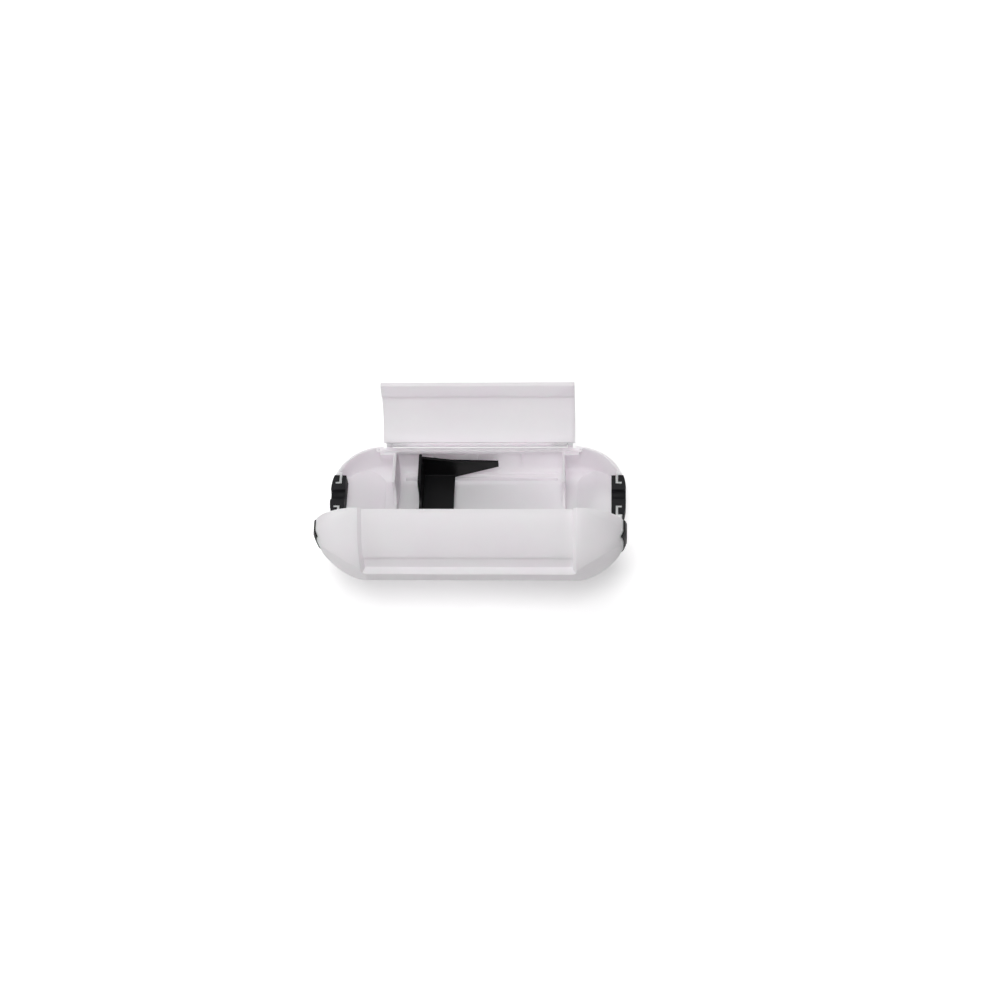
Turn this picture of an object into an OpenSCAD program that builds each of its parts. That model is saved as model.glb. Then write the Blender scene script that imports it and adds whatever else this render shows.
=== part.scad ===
// Weatherproof clamshell box that closes round a plugged pair of extension leads.
// The base lies flat, the lid is hinged along the near edge, the latch flap along the far edge.
// X runs along the cables, +Z is up, and the origin is the centre of the flat underside.

/* [Shell] */
// Overall length of the shells along the cables
shell_l = 206; // [190:1:230]
// Overall width of the shells
shell_w = 80; // [78:0.5:84]
// Depth of the base below the parting plane
base_depth = 35; // [34:0.5:40]
// Depth of the lid above the parting plane
lid_depth = 34.7; // [34.2:0.1:35.5]
// Radius of the four round corners of the shells, seen from above
end_r = 35; // [34:0.5:37]
// Wall thickness of both shells
wall = 2.4; // [2.2:0.1:2.6]
// Radius of the long lower corners of the base
base_r = 13; // [11:0.5:15]
// Angle of the sloping facets at the ends of the base, in degrees
end_slope = 32; // [28:1:35]
// Radius of the bowed facets at the ends of the lid
facet_r = 92; // [88:1:100]
// Angle at which the lid's facets leave the crown, in degrees
facet_start = 20; // [18:0.5:22]

/* [Poses] */
// How far the lid is swung open, in degrees
lid_open = 100.6; // [0:0.1:100.6]
// How far the latch flap is swung open, in degrees
flap_open = 76; // [0:1:76]
// Shift of the plug retainer from its place in the photograph
retainer_shift = 0; // [-15:1:44]

/* [Latch flap] */
// Width of the flap along the box
flap_l = 135.8; // [130:0.2:136]
// Thickness of the curved plate
flap_t = 2.2; // [1.8:0.1:2.4]
// Depth of the lid's recess that the plate closes into
panel_drop = 3; // [2.8:0.1:3.2]
// Angle round the lid's crown where the catch channel ends, in degrees
channel_end = 82; // [80:0.5:83]

/* [Cable seals] */
// Diameter of the lead that the seals close round
cable_d = 8; // [6:0.5:9]
// Width of a seal across the box
seal_w = 32; // [30:0.5:34]
// Depth of a seal below or above the parting plane
seal_depth = 12; // [11:0.5:13]
// Thickness of a seal along the cable, up to the outline of the end
seal_t = 9.4; // [9:0.1:10.5]

/* [Plug retainer] */
// Distance of its end plate from the middle of the box
retainer_x = 42; // [40:0.5:44]
// Length of the side arms from the end plate
arm_l = 56; // [50:1:58]
// Half width of the slot for the bend relief of the plug
boot_r = 9; // [7:0.5:10]

/* [Hinges] */
// Outer radius of the hinge knuckles
knuckle_r = 2.4; // [2.2:0.1:2.4]
// Radius of the steel hinge pins
pin_r = 1; // [0.9:0.05:1.1]

/* [Hidden] */
$fn = 96;

shell_white = "whitesmoke";
rubber_black = "#1c1c1c";
plastic_black = "#141414";
pin_steel = "silver";

// Gap between parts that move past each other, and a length beyond any part for cuts
gap = 0.3;
over = 60;
half_w = shell_w / 2;
corner_x = shell_l / 2 - end_r;
corner_y = half_w - end_r;

// Lid cross-section: an arc from each rim to a narrow flat crown, centred below the parting plane
crown_drop = (pow(half_w, 2) - pow(corner_y, 2) - pow(lid_depth, 2)) / (2 * lid_depth);
crown_r = norm([half_w, crown_drop]);

// The lid's round ends are set further out than the rim and trimmed upright by its outline
cap_x = corner_x + 2;

// Where the end facets start on the crown and on the underside
lid_slope_x = 68.5;
base_slope_x = 70;
facet_x = lid_slope_x - facet_r * sin(facet_start);
facet_z = lid_depth - facet_r * cos(facet_start);

// Stepped rim: a tongue on the base inside a lip on the lid
tongue_h = 1.6;
lip_t = 1.1;

// Recess for the flap in the far side of the lid, and its sloped ends
panel_l = flap_l + 1.2;
panel_flare = 2.2;
far_y = half_w - panel_drop;
ledge_y = far_y - wall;

// Hinge axes as y and z, measured from the parting plane
lid_axis = [-(half_w + 2.8), 0];
flap_axis = [half_w + 1.6, 1];

// Catch channel of the lid: a flat floor and a steep step up to the crown
channel_a = 61.5;
channel_in = norm(arch_point(panel_drop, channel_a) - flap_axis);
channel_deep = 1.9;
floor_a = arch_point(panel_drop + channel_deep, channel_a);
floor_b = arch_point(panel_drop + 1.1, channel_end - 4);
step_top = arch_point(0, channel_end);
latch_gap = 0.4;

// Inner face of the strip at the flap's free edge, which thins towards the edge
strip_a = arch_point(panel_drop + 1.3, channel_a);
strip_b = arch_point(panel_drop - latch_gap, channel_end - 3);

// Web between the flap's plate and its hinge barrel
root_t = 3.1;
root_h = 2.4;

// Seal seats: a pocket at the end of the shell with a slotted wall behind it
seat_t = 1.6;
seal_x = shell_l / 2 - seal_t;
flange_t = 3;
pocket_x = seal_x + flange_t + seat_t;
port_w = 18.2;
port_depth = 8.5;
foot_t = 1.2;
foot_l = 2.6;
fit = 0.1;
flange_w = seal_w - 0.6;
flange_depth = seal_depth - 0.5;
seal_proud = 0.7;

// Inside the base
ledge_t = 2.2;
ledge_down = 0.6;
rib_t = 1.6;
rib_mid = -1.8;
rib_pitch = 30.7;
rib_depth = 19;
partition_x = 60;
partition_t = 2;
notch_r = 10.5;
block_x = 71;
block_y = 32.7;
block_h = 8;
rail_t = 1;
rail_l = 110;

// Plug retainer
plate_t = 2;
arm_t = 1.8;
arm_y = ledge_y - 0.6;
arm_floor = base_depth - 5.5;
plate_floor = arm_floor - 1 - gap;
rail_h = base_depth - arm_floor - wall + 1;
web_l = 24;
web_t = 1.6;

// Knuckle places along the hinges
lid_hinge_x = 44;
knuckle_l = 9;
knuckle_gap = 0.4;
flap_knuckle_l = 3.7;
flap_knuckle_x = 62.6;
pin_fit = 0.02;
pin_play = 0.08;
lid_pin_l = 27;
flap_pin_l = 14;
bore_end = 0.4;

function arch_point(inset, a) =
  [(crown_r - inset) * cos(a), (crown_r - inset) * sin(a) - crown_drop];

// Height of the flat crown for a given inset
function crown_top(inset) = sqrt(pow(crown_r - inset, 2) - pow(corner_y, 2)) - crown_drop;

// Draws a cross-section, given as y and z, along X
module along_x(x0, x1) {
  translate([x0, 0, 0]) rotate([90, 0, 90]) linear_extrude(x1 - x0) children();
}

// Draws a side view, given as x and z, across the whole width
module across_y(half = over) {
  translate([0, half, 0]) rotate([90, 0, 0]) linear_extrude(2 * half) children();
}

module both_ends() {
  children();
  mirror([1, 0, 0]) children();
}

module both_sides() {
  children();
  mirror([0, 1, 0]) children();
}

// Both ends of a shell from its cross-section: turned corners at x and a slice between them
module round_ends(x) {
  both_ends() {
    both_sides() translate([x, corner_y, 0]) rotate_extrude(angle = 90) end_profile() children();
    translate([x, corner_y, 0]) rotate([90, 0, 0]) linear_extrude(2 * corner_y)
      end_profile() children();
  }
}

module end_profile() {
  translate([-corner_y, 0]) intersection() {
    children();
    translate([corner_y, -1]) square(over);
  }
}

// Outline of the shells seen from above
module plan(inset) {
  square([2 * corner_x, 2 * (half_w - inset)], center = true);
  square([shell_l - 2 * inset, 2 * corner_y], center = true);
  for (x = [-corner_x, corner_x], y = [-corner_y, corner_y])
    translate([x, y]) circle(end_r - inset);
}

// Cross-section of the lid, cut off at the parting plane
module arch(inset) {
  intersection() {
    translate([0, -crown_drop]) circle(crown_r - inset);
    translate([-over, 0]) square([2 * over, crown_top(inset)]);
  }
}

// Lid without its details, inset by a wall; z = 0 is the parting plane
module lid_form(inset) {
  intersection() {
    union() {
      along_x(-cap_x, cap_x) arch(inset);
      round_ends(cap_x) arch(inset);
    }
    across_y() {
      translate([-over, -1]) square([2 * over, lid_depth + 2]);
      for (s = [-1, 1]) translate([s * facet_x, facet_z]) circle(facet_r - inset);
    }
    translate([0, 0, -1]) linear_extrude(over) plan(inset);
  }
}

// Right half of the base's cross-section, up to a given height
module tray(inset, top) {
  translate([0, inset]) square([half_w - base_r, top - inset]);
  translate([0, base_r]) square([half_w - inset, top - base_r]);
  translate([half_w - base_r, base_r]) circle(base_r - inset);
}

// Base without its details, inset by a wall; z = 0 is the underside
module base_form(inset, top) {
  cut = inset / cos(end_slope);
  rise = (2 * over - base_slope_x) * tan(end_slope) + cut;
  low_x = base_slope_x - (1 + cut) / tan(end_slope);
  intersection() {
    union() {
      along_x(-corner_x, corner_x) {
        tray(inset, top);
        mirror([1, 0]) tray(inset, top);
      }
      round_ends(corner_x) tray(inset, top);
    }
    across_y() polygon([
      [-2 * over, over], [2 * over, over], [2 * over, rise], [low_x, -1],
      [-low_x, -1], [-2 * over, rise]
    ]);
  }
}

// Solid wall behind the seal, with the seal's pocket and port cut out; z = 0 is the parting plane
module seal_seat_solid() {
  side = seal_w / 2 + wall;
  translate([pocket_x - seat_t, -side, 0]) cube([over, 2 * side, seal_depth + wall]);
}

module seal_seat_cut() {
  translate([pocket_x, -seal_w / 2, -1]) cube([over, seal_w, seal_depth + 1]);
  translate([pocket_x - over / 4, -port_w / 2, -1]) cube([over, port_w, port_depth + 1]);
}

// Feet that point outwards from the edges of the port into the seal
module seal_feet(grow) {
  both_sides()
    translate([pocket_x - 0.1 - grow, port_w / 2 - grow, -grow])
      cube([foot_l + 0.1 + 2 * grow, foot_t + 2 * grow, port_depth + 2 * grow]);
}

// One rubber seal half: a flange inside, a neck through the port and a rounded outer pad
module seal_half() {
  outer_w = seal_w - 2 * fit;
  difference() {
    union() {
      translate([seal_x, -flange_w / 2, 0]) cube([flange_t - fit, flange_w, flange_depth]);
      translate([seal_x, -port_w / 2 + fit, 0])
        cube([seal_t - 2, port_w - 2 * fit, port_depth - fit]);
      intersection() {
        translate([pocket_x + fit, -outer_w / 2, 0]) cube([over, outer_w, seal_depth - fit]);
        children();
      }
    }
    seal_feet(fit);
    rotate([0, 90, 0]) cylinder(h = 2 * shell_l, r = cable_d / 2, center = true);
  }
}

// Ring between two insets of the plan, stepped in along the far side for the flap
module rim_ring(outer_inset, inner_inset) {
  difference() {
    rim_area(outer_inset);
    rim_area(inner_inset);
  }
}

module rim_area(inset) {
  difference() {
    plan(inset);
    translate([-panel_l / 2 - panel_flare - inset, far_y - inset])
      square([panel_l + 2 * (panel_flare + inset), over]);
  }
}

// Knuckle with a gusset that reaches the wall; up is 1 on the lid and -1 on the base
module wall_knuckle(x0, length, up) {
  y = lid_axis[0];
  root = -half_w + 0.6;
  along_x(x0, x0 + length) {
    translate(lid_axis) circle(knuckle_r);
    polygon([
      [y, up * gap], [root, up * gap], [root, up * 8.5],
      [y - knuckle_r * 0.75, up * knuckle_r * 0.66]
    ]);
  }
}

module lid_bore(r) {
  both_ends()
    translate([lid_hinge_x, lid_axis[0], lid_axis[1]]) rotate([0, 90, 0])
      cylinder(h = over, r = r, center = true);
}

module hinge_pin(length) {
  rotate([0, 90, 0]) cylinder(h = length, r = pin_r, center = true);
}

// Base

module base_wall() {
  difference() {
    base_form(0, base_depth);
    base_form(wall, base_depth + 1);
  }
}

module base_tongue() {
  difference() {
    translate([0, 0, base_depth - 1]) linear_extrude(tongue_h + 1)
      rim_ring(lip_t + gap, wall - 0.1);
    both_ends() translate([pocket_x - over / 4, -seal_w / 2 - wall, base_depth - 2])
      cube([over, seal_w + 2 * wall, over]);
  }
}

// Inner ledge along the far wall, with deeper blocks where the flap's pins are held
module base_ledge() {
  reach = half_w - ledge_y - 1;
  translate([-block_x, ledge_y, base_depth - ledge_t])
    cube([2 * block_x, reach, ledge_t - ledge_down]);
  both_ends() translate([partition_x, block_y, base_depth - block_h])
    cube([block_x - partition_x, half_w - block_y - 1, block_h]);
}

module base_ribs() {
  both_sides() for (i = [-1:1])
    translate([rib_mid + i * rib_pitch - rib_t / 2, ledge_y, base_depth - rib_depth])
      cube([rib_t, half_w - ledge_y - 1, rib_depth - 1]);
}

// Cross wall with a round-bottomed notch for a bend relief, from a given depth downwards
module partition_outline(top) {
  difference() {
    translate([-half_w, -over]) square([shell_w, over - top]);
    translate([0, -notch_r]) circle(notch_r);
    translate([-notch_r, -notch_r]) square([2 * notch_r, over]);
  }
}

module base_partitions() {
  both_ends() along_x(partition_x - partition_t / 2, partition_x + partition_t / 2)
    translate([0, base_depth]) partition_outline(0);
}

// Two low rails on each side of the floor that guide the retainer's arms
module base_rails() {
  both_sides() for (y = [arm_y - arm_t - 0.6 - rail_t, arm_y + 0.5])
    translate([-rail_l / 2, y, wall]) cube([rail_l, rail_t, rail_h]);
}

module flap_knuckles() {
  both_ends() along_x(flap_knuckle_x, flap_knuckle_x + flap_knuckle_l)
    translate([0, base_depth]) {
      translate(flap_axis) circle(knuckle_r);
      polygon([
        [ledge_y + 1, -gap], [flap_axis[0] - knuckle_r, -gap],
        [flap_axis[0] - knuckle_r, flap_axis[1]], [flap_axis[0] + knuckle_r, flap_axis[1]],
        [flap_axis[0] + knuckle_r * 0.8, -1.5], [half_w - 0.5, -9], [ledge_y + 1, -9]
      ]);
    }
}

module base_shell() {
  color(shell_white) difference() {
    union() {
      difference() {
        union() {
          base_wall();
          intersection() {
            union() {
              base_ledge();
              base_ribs();
              base_partitions();
              base_rails();
              both_ends() translate([0, 0, base_depth]) mirror([0, 0, 1]) seal_seat_solid();
            }
            base_form(wall / 2, base_depth);
          }
        }
        both_ends() translate([0, 0, base_depth]) mirror([0, 0, 1]) seal_seat_cut();
        translate([-panel_l / 2, half_w - panel_drop / 2, base_depth - ledge_t])
          cube([panel_l, over, over]);
      }
      base_tongue();
      both_ends() translate([0, 0, base_depth]) mirror([0, 0, 1]) seal_feet(0);
      translate([0, 0, base_depth]) both_ends() for (s = [-1, 1])
        wall_knuckle(lid_hinge_x - knuckle_l / 2 + s * (knuckle_l + knuckle_gap), knuckle_l, -1);
      flap_knuckles();
    }
    translate([0, 0, base_depth]) lid_bore(pin_r + pin_fit);
    translate([0, flap_axis[0], base_depth + flap_axis[1]]) rotate([0, 90, 0])
      cylinder(h = shell_l, r = pin_r + pin_fit, center = true);
  }
}

// Lid, drawn closed with z = 0 at the parting plane, then swung open

module place_lid() {
  translate([0, lid_axis[0], base_depth]) rotate([lid_open, 0, 0])
    translate([0, -lid_axis[0], 0]) children();
}

// Half plane to the right of the line from a to b, shifted to the right by a given amount
module beside(a, b, shift = 0) {
  d = (b - a) / norm(b - a);
  n = [d[1], -d[0]];
  start = a - over * d + shift * n;
  end = b + over * d + shift * n;
  polygon([start, end, end + over * n, start + over * n]);
}

// Space between the channel's two side walls
module channel_width(shift = 0) {
  difference() {
    beside(floor_b, step_top, shift);
    translate(flap_axis) circle(channel_in + shift);
  }
}

// Cone that slopes an end of the recess out through the full section
module flare_core() {
  through = 0.6;
  translate([0, 0, -crown_drop]) rotate([0, 90, 0])
    cylinder(
      h = panel_flare * (panel_drop + through) / panel_drop,
      r1 = crown_r - panel_drop, r2 = crown_r + through
    );
}

// Recess for the flap, and the catch channel along its inner edge
module panel_cut() {
  half = panel_l / 2;
  along_x(-half, half) {
    difference() {
      beside(floor_b, step_top);
      translate([0, -crown_drop]) circle(crown_r - panel_drop);
    }
    intersection() {
      channel_width();
      beside(floor_a, floor_b);
    }
  }
  both_ends() translate([half, 0, 0]) difference() {
    along_x(0, panel_flare) beside(floor_b, step_top);
    flare_core();
  }
}

// Extra thickness inside the lid behind the recess and the channel
module panel_backing() {
  half = panel_l / 2 + panel_flare + wall;
  along_x(-half, half) difference() {
    beside(floor_b, step_top, -wall);
    intersection() {
      arch(panel_drop + wall);
      translate(flap_axis) circle(channel_in - wall);
    }
    arch(panel_drop + channel_deep + wall * 0.8);
  }
}

module lid_body() {
  difference() {
    lid_form(0);
    difference() {
      translate([0, 0, -0.01]) lid_form(wall);
      panel_backing();
      both_ends() seal_seat_solid();
      both_ends() along_x(partition_x - partition_t / 2, partition_x + partition_t / 2)
        mirror([0, 1]) partition_outline(1);
    }
    panel_cut();
    both_ends() seal_seat_cut();
    translate([0, 0, -1]) linear_extrude(tongue_h + gap + 1) rim_ring(lip_t, wall + gap);
    translate([-2 * over, -over, -over]) cube([4 * over, 2 * over, over + gap]);
  }
}

module lid_shell() {
  color(shell_white) place_lid() difference() {
    union() {
      lid_body();
      both_ends() difference() {
        seal_feet(0);
        translate([0, -over, -over]) cube([2 * over, 2 * over, over + gap]);
      }
      both_ends() wall_knuckle(lid_hinge_x - knuckle_l / 2, knuckle_l, 1);
    }
    lid_bore(pin_r + pin_play);
  }
}

// Latch flap, drawn closed round the lid, then swung open

module place_flap() {
  translate([0, flap_axis[0], base_depth + flap_axis[1]]) rotate([-flap_open, 0, 0])
    translate([0, -flap_axis[0], -flap_axis[1]]) children();
}

// Curved plate and the thicker strip at its free edge that drops into the catch channel
module flap_outline() {
  inner = panel_drop - latch_gap;
  intersection() {
    difference() {
      arch(inner - flap_t);
      arch(inner);
    }
    beside(floor_b, step_top, latch_gap);
    translate([0, latch_gap]) square(over);
  }
  translate([flap_axis[0] - root_t, latch_gap]) square([root_t, root_h]);
  intersection() {
    channel_width(latch_gap);
    beside(strip_a, strip_b);
    arch(inner - flap_t);
  }
}

module latch_flap() {
  color(shell_white) place_flap() difference() {
    union() {
      along_x(-flap_l / 2, flap_l / 2) flap_outline();
      along_x(-flap_knuckle_x + knuckle_gap, flap_knuckle_x - knuckle_gap)
        translate(flap_axis) circle(knuckle_r);
    }
    both_ends() translate([flap_knuckle_x - knuckle_gap, flap_axis[0], flap_axis[1]])
      rotate([0, 90, 0]) cylinder(h = over, r = knuckle_r + latch_gap);
    both_ends()
      translate([flap_knuckle_x + flap_knuckle_l - flap_pin_l - bore_end, flap_axis[0], flap_axis[1]])
        rotate([0, 90, 0]) cylinder(h = over, r = pin_r + pin_play);
  }
}

// Plug retainer: an end plate with a slot, a short floor and two tapering side arms

module retainer_arm() {
  x0 = -retainer_x - plate_t / 2;
  tip = x0 + arm_l;
  translate([0, arm_y, 0]) rotate([90, 0, 0]) linear_extrude(arm_t) polygon([
    [x0, -arm_floor], [x0 + web_l, -arm_floor], [tip, -15.5], [tip, -9.5],
    [x0 + 22, -8], [x0 + plate_t, -4], [x0 + plate_t, -1], [x0, -1]
  ]);
}

module retainer_plate() {
  along_x(-retainer_x - plate_t / 2, -retainer_x + plate_t / 2) difference() {
    translate([-arm_y, -plate_floor]) square([2 * arm_y, plate_floor - 1]);
    translate([0, -boot_r - 1]) circle(boot_r);
    translate([-boot_r, -boot_r - 1]) square([2 * boot_r, over]);
    polygon([[-boot_r - 3.5, 0], [boot_r + 3.5, 0], [boot_r, -4.5], [-boot_r, -4.5]]);
  }
}

module plug_retainer() {
  color(plastic_black) translate([retainer_shift, 0, base_depth]) {
    retainer_plate();
    both_sides() retainer_arm();
    translate([-retainer_x - plate_t / 2, -arm_y + arm_t, -plate_floor])
      cube([web_l, 2 * (arm_y - arm_t), web_t]);
  }
}

// Cable seals

module base_seal() {
  color(rubber_black) translate([0, 0, base_depth]) mirror([0, 0, 1]) seal_half()
    translate([0, 0, base_depth]) mirror([0, 0, 1]) base_form(-seal_proud, base_depth);
}

module lid_seal() {
  color(rubber_black) place_lid() difference() {
    seal_half() lid_form(-seal_proud);
    translate([0, -over, -over]) cube([2 * over, 2 * over, over + gap]);
  }
}

module base_seal_left() { mirror([1, 0, 0]) base_seal(); }
module base_seal_right() { base_seal(); }
module lid_seal_left() { mirror([1, 0, 0]) lid_seal(); }
module lid_seal_right() { lid_seal(); }

// Hinge pins

module lid_pin() {
  color(pin_steel) translate([lid_hinge_x, lid_axis[0], base_depth + lid_axis[1]])
    hinge_pin(lid_pin_l);
}

module flap_pin() {
  color(pin_steel)
    translate([flap_knuckle_x + flap_knuckle_l - flap_pin_l / 2, flap_axis[0], base_depth + flap_axis[1]])
      hinge_pin(flap_pin_l);
}

module lid_pin_left() { mirror([1, 0, 0]) lid_pin(); }
module lid_pin_right() { lid_pin(); }
module flap_pin_left() { mirror([1, 0, 0]) flap_pin(); }
module flap_pin_right() { flap_pin(); }

base_shell();
lid_shell();
latch_flap();
plug_retainer();
base_seal_left();
base_seal_right();
lid_seal_left();
lid_seal_right();
lid_pin_left();
lid_pin_right();
flap_pin_left();
flap_pin_right();
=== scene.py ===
import math

import bpy
from mathutils import Matrix, Vector

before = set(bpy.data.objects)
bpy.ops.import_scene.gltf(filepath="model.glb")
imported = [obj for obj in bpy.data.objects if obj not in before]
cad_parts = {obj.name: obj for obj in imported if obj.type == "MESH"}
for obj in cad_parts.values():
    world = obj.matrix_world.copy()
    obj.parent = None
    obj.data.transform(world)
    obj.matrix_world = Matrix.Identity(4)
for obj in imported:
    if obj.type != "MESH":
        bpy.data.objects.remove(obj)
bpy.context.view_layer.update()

RIM_Z = 0.035  # height of the parting plane

# The photograph's camera, found from the outlines of the rims and the flap
CAM_AZ = math.radians(6.9)
CAM_EL = math.radians(60.0)
CAM_ROLL = math.radians(-5.9)
CAM_DISTANCE = 1.2198
CAM_AIM = Vector((0.0166, -0.0255, RIM_Z))
FOCAL_PX = 1761.8
FRAME_PX = 1000
PRINCIPAL_DOWN_PX = 26
SENSOR_MM = 36.0

WHITE = (0.93, 0.88, 0.925, 1)
WHITE_SCATTER = 0.005  # how far light spreads inside the thin white walls
BLACK_PLASTIC = (0.0025, 0.0025, 0.003, 1)
BLACK_RUBBER = (0.004, 0.004, 0.005, 1)
STEEL = (0.62, 0.62, 0.63, 1)

FLOOR_SIZE = 12
FLOOR_Z = -0.0002  # just under the object, so that the two faces don't meet
FLOOR_GREY = (0.62, 0.62, 0.62, 1)
FLOOR_WHITES = (0.97, 0.97, 0.97, 1), (0.98, 0.98, 0.98, 1)
SKY_STRENGTH = 0.2
LAMP_AIM = Vector((0, 0, 0.04))
LAMPS = {  # place, disk's diameter and power
    "front": ((0.0, -0.7, 1.95), 0.8, 18.5),
    "left": ((-2.2, -0.3, 0.8), 1.0, 11),
    "back": ((0.0, 2.1, 1.0), 1.2, 25),
}


# Materials

class Nodes:
    """Small helper for one procedural material."""

    def __init__(self, name):
        self.mat = bpy.data.materials.new(name)
        self.mat.use_nodes = True
        self.tree = self.mat.node_tree
        self.shader = self.tree.nodes["Principled BSDF"]
        self.coord = self.add("ShaderNodeTexCoord")

    def add(self, kind, **sockets):
        node = self.tree.nodes.new(kind)
        for key, value in sockets.items():
            node.inputs[key.replace("_", " ")].default_value = value
        return node

    def link(self, a, b):
        self.tree.links.new(a, b)

    def noise(self, scale, detail, roughness=0.5, stretch=(1, 1, 1)):
        place = self.add("ShaderNodeMapping")
        place.inputs["Scale"].default_value = stretch
        self.link(self.coord.outputs["Object"], place.inputs["Vector"])
        noise = self.add("ShaderNodeTexNoise", Scale=scale, Detail=detail, Roughness=roughness)
        self.link(place.outputs["Vector"], noise.inputs["Vector"])
        return noise.outputs["Fac"]

    def ramp(self, fac, low, high, start=0.35, end=0.65):
        ramp = self.add("ShaderNodeValToRGB")
        for stop, colour, place in zip(ramp.color_ramp.elements, (low, high), (start, end)):
            stop.color = colour
            stop.position = place
        self.link(fac, ramp.inputs["Fac"])
        return ramp.outputs["Color"]

    def spread(self, value, low, high, start=0.3, end=0.7):
        node = self.add("ShaderNodeMapRange", From_Min=start, From_Max=end, To_Min=low, To_Max=high)
        self.link(value, node.inputs["Value"])
        return node.outputs["Result"]

    def maths(self, operation, a, b):
        node = self.add("ShaderNodeMath")
        node.operation = operation
        self.link(a, node.inputs[0])
        self.link(b, node.inputs[1])
        return node.outputs["Value"]

    def bump(self, fac, strength, distance):
        node = self.add("ShaderNodeBump", Strength=strength, Distance=distance)
        self.link(fac, node.inputs["Height"])
        self.link(node.outputs["Normal"], self.shader.inputs["Normal"])


def scaled(colour, k):
    return tuple(c * k for c in colour[:3]) + (1,)


def moulded(name, colour, roughness, vary, grain):
    """Moulded plastic: faint cloudiness in colour, a fine matt grain, slightly uneven gloss."""
    m = Nodes(name)
    m.link(m.ramp(m.noise(22, 2), scaled(colour, 1 - vary), scaled(colour, 1 + vary)),
           m.shader.inputs["Base Color"])
    m.link(m.spread(m.noise(90, 4), roughness - 0.04, roughness + 0.05), m.shader.inputs["Roughness"])
    m.bump(m.noise(grain, 2, 0.6), 0.25, 0.00003)
    m.shader.inputs["IOR"].default_value = 1.46
    return m


def rubber(name, colour):
    """Matt rubber, uneven in colour and grain."""
    m = Nodes(name)
    m.link(m.ramp(m.noise(60, 4), scaled(colour, 0.7), scaled(colour, 1.6)), m.shader.inputs["Base Color"])
    m.link(m.spread(m.noise(240, 5), 0.5, 0.68), m.shader.inputs["Roughness"])
    m.bump(m.noise(1800, 4, 0.65), 0.4, 0.00005)
    m.shader.inputs["IOR"].default_value = 1.5
    m.shader.inputs["Specular IOR Level"].default_value = 0.15
    return m


def drawn_steel(name):
    """Bright wire with drawing lines along the pins."""
    m = Nodes(name)
    lines = m.noise(500, 4, 0.6, stretch=(0.04, 1, 1))
    m.link(m.ramp(lines, scaled(STEEL, 0.8), scaled(STEEL, 1.1)), m.shader.inputs["Base Color"])
    m.link(m.spread(lines, 0.24, 0.4), m.shader.inputs["Roughness"])
    m.bump(lines, 0.15, 0.00002)
    m.shader.inputs["Metallic"].default_value = 1.0
    return m


white = moulded("moulded_white", WHITE, 0.48, vary=0.015, grain=2600)
white.shader.inputs["Specular IOR Level"].default_value = 0.4
white.shader.inputs["Subsurface Weight"].default_value = 1.0
white.shader.inputs["Subsurface Radius"].default_value = (1.0, 0.9, 0.95)
white.shader.inputs["Subsurface Scale"].default_value = WHITE_SCATTER
black = moulded("moulded_black", BLACK_PLASTIC, 0.45, vary=0.2, grain=2200)
black.shader.inputs["Specular IOR Level"].default_value = 0.2
seal_rubber = rubber("seal_rubber", BLACK_RUBBER)
steel = drawn_steel("drawn_steel")

FINISH = {
    "base_shell": white, "lid_shell": white, "latch_flap": white, "plug_retainer": black,
    "base_seal_left": seal_rubber, "base_seal_right": seal_rubber,
    "lid_seal_left": seal_rubber, "lid_seal_right": seal_rubber,
    "lid_pin_left": steel, "lid_pin_right": steel, "flap_pin_left": steel, "flap_pin_right": steel,
}
WELD_DISTANCE = 0.000002  # joins the faces along sharp edges, which the bevel then rounds
EDGE_ROUNDING = {
    "plug_retainer": 0.0003, "base_seal_left": 0.00015, "base_seal_right": 0.00015,
    "lid_seal_left": 0.00015, "lid_seal_right": 0.00015,
}
SHARP_ANGLE = math.radians(32)

for name, finish in FINISH.items():
    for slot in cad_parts[name].material_slots:
        slot.material = finish.mat

for name, width in EDGE_ROUNDING.items():
    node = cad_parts[name]
    weld = node.modifiers.new("joined", "WELD")
    weld.merge_threshold = WELD_DISTANCE
    bevel = node.modifiers.new("edges", "BEVEL")
    bevel.width = width
    bevel.segments = 2
    bevel.limit_method = "ANGLE"
    bevel.angle_limit = SHARP_ANGLE
    bevel.harden_normals = True
    bevel.use_clamp_overlap = False


# Camera

def photo_camera():
    back = Vector((math.sin(CAM_AZ) * math.cos(CAM_EL), -math.cos(CAM_AZ) * math.cos(CAM_EL),
                   math.sin(CAM_EL)))
    right = (-back).cross(Vector((0, 0, 1))).normalized()
    up = right.cross(-back)
    turned_right = right * math.cos(CAM_ROLL) + up * math.sin(CAM_ROLL)
    turned_up = up * math.cos(CAM_ROLL) - right * math.sin(CAM_ROLL)
    data = bpy.data.cameras.new("photo_camera")
    data.sensor_width = SENSOR_MM
    data.lens = SENSOR_MM * FOCAL_PX / FRAME_PX
    data.shift_y = PRINCIPAL_DOWN_PX / FRAME_PX
    data.clip_start = 0.05
    data.clip_end = 60
    camera = bpy.data.objects.new("photo_camera", data)
    bpy.context.scene.collection.objects.link(camera)
    spot = CAM_AIM + back * CAM_DISTANCE
    turn = Matrix((turned_right, turned_up, back)).transposed()
    camera.matrix_world = Matrix.Translation(spot) @ turn.to_4x4()
    bpy.context.scene.camera = camera


photo_camera()


# Floor, background and light

def seen_rays(tree):
    """1 for the rays that show the background: the camera's, and those in gloss, metal and glass."""
    path = tree.nodes.new("ShaderNodeLightPath")
    seen = path.outputs["Is Camera Ray"]
    for kind in ("Is Glossy Ray", "Is Transmission Ray"):
        either = tree.nodes.new("ShaderNodeMath")
        either.operation = "MAXIMUM"
        tree.links.new(seen, either.inputs[0])
        tree.links.new(path.outputs[kind], either.inputs[1])
        seen = either.outputs["Value"]
    return seen


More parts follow.
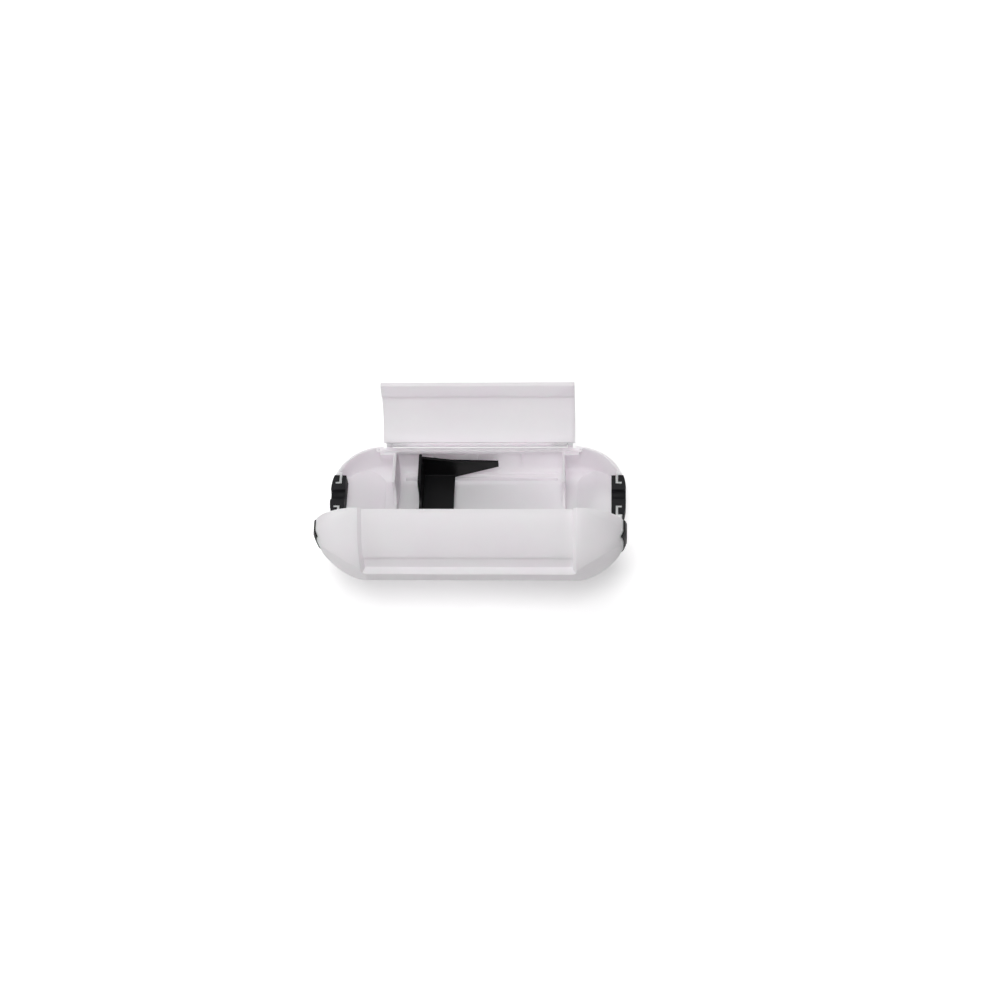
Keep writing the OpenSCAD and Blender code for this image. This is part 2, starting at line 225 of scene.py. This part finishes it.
def floor_material():
    """Grey floor that the camera and gloss see as white, with the object's shadow on it.

    The lamps fade with distance, so the floor's own brightness grows outwards."""
    m = Nodes("floor")
    seen = seen_rays(m.tree)
    tone = m.add("ShaderNodeMixRGB", Color1=FLOOR_GREY)
    m.link(seen, tone.inputs["Fac"])
    m.link(m.ramp(m.noise(4, 2), *FLOOR_WHITES), tone.inputs["Color2"])
    m.link(tone.outputs["Color"], m.shader.inputs["Base Color"])
    away = m.add("ShaderNodeVectorMath")
    away.operation = "LENGTH"
    m.link(m.coord.outputs["Object"], away.inputs[0])
    lift = m.spread(away.outputs["Value"], 0.32, 1.0, start=0.4, end=1.8)
    m.link(m.maths("MULTIPLY", lift, seen), m.shader.inputs["Emission Strength"])
    m.shader.inputs["Emission Color"].default_value = (1, 1, 1, 1)
    m.shader.inputs["Roughness"].default_value = 0.9
    m.shader.inputs["Specular IOR Level"].default_value = 0.1
    return m.mat


bpy.ops.mesh.primitive_plane_add(size=FLOOR_SIZE, location=(0, 0, FLOOR_Z))
floor = bpy.context.object
floor.name = "floor"
floor.data.materials.append(floor_material())


def area_light(name, place, size, power):
    data = bpy.data.lights.new(name, "AREA")
    data.shape = "DISK"
    data.size = size
    data.energy = power
    light = bpy.data.objects.new(name, data)
    bpy.context.scene.collection.objects.link(light)
    light.location = place
    light.rotation_euler = (LAMP_AIM - Vector(place)).to_track_quat("-Z", "Y").to_euler()


for name, lamp in LAMPS.items():
    area_light(name, *lamp)


def studio_world():
    world = bpy.data.worlds.new("studio")
    bpy.context.scene.world = world
    world.use_nodes = True
    tree = world.node_tree
    sky = tree.nodes["Background"]
    sky.inputs["Color"].default_value = (1, 1, 1, 1)
    sky.inputs["Strength"].default_value = SKY_STRENGTH
    backdrop = tree.nodes.new("ShaderNodeBackground")
    backdrop.inputs["Color"].default_value = (1, 1, 1, 1)
    backdrop.inputs["Strength"].default_value = 1.0
    mix = tree.nodes.new("ShaderNodeMixShader")
    tree.links.new(seen_rays(tree), mix.inputs["Fac"])
    tree.links.new(sky.outputs["Background"], mix.inputs[1])
    tree.links.new(backdrop.outputs["Background"], mix.inputs[2])
    tree.links.new(mix.outputs["Shader"], tree.nodes["World Output"].inputs["Surface"])


studio_world()
bpy.context.scene.view_settings.view_transform = "Standard"
